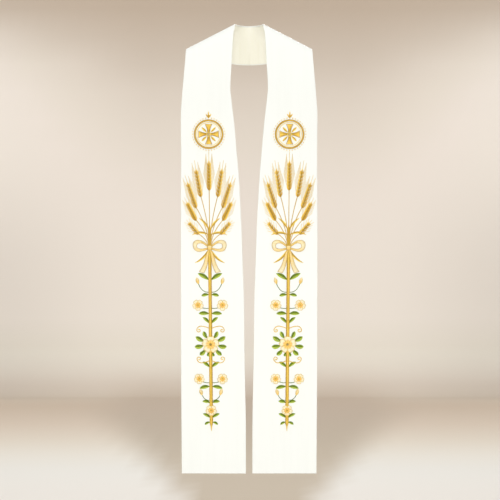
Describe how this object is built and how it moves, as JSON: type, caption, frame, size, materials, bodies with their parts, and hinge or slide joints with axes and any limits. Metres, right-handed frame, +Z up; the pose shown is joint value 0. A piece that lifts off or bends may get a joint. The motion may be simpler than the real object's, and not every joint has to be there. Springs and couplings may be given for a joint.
{
  "type": "wedding stole",
  "caption": "Long embroidered stole in its worn shape: wide fronts hang from the shoulders, joined behind an open neck.",
  "frame": {"origin": "middle of the neck opening, level with the top of the shoulder lines", "axes": "+Z up, -Y towards the front, +X to the right of someone looking at the front"},
  "size_m": [0.4238, 0.2095, 1.4002],
  "materials": {
    "face_cloth": "finely woven ivory cloth, faint soft sheen",
    "lining_cloth": "cream satin lining",
    "gold_thread": "lustrous gold embroidery thread",
    "green_thread": "lustrous leaf green embroidery thread",
    "cream_thread": "lustrous cream embroidery thread"
  },
  "bodies": {
    "root": {"half_left": "face_cloth", "half_right": "face_cloth", "lining_left": "lining_cloth", "lining_right": "lining_cloth"}
  },
  "joints": []
}
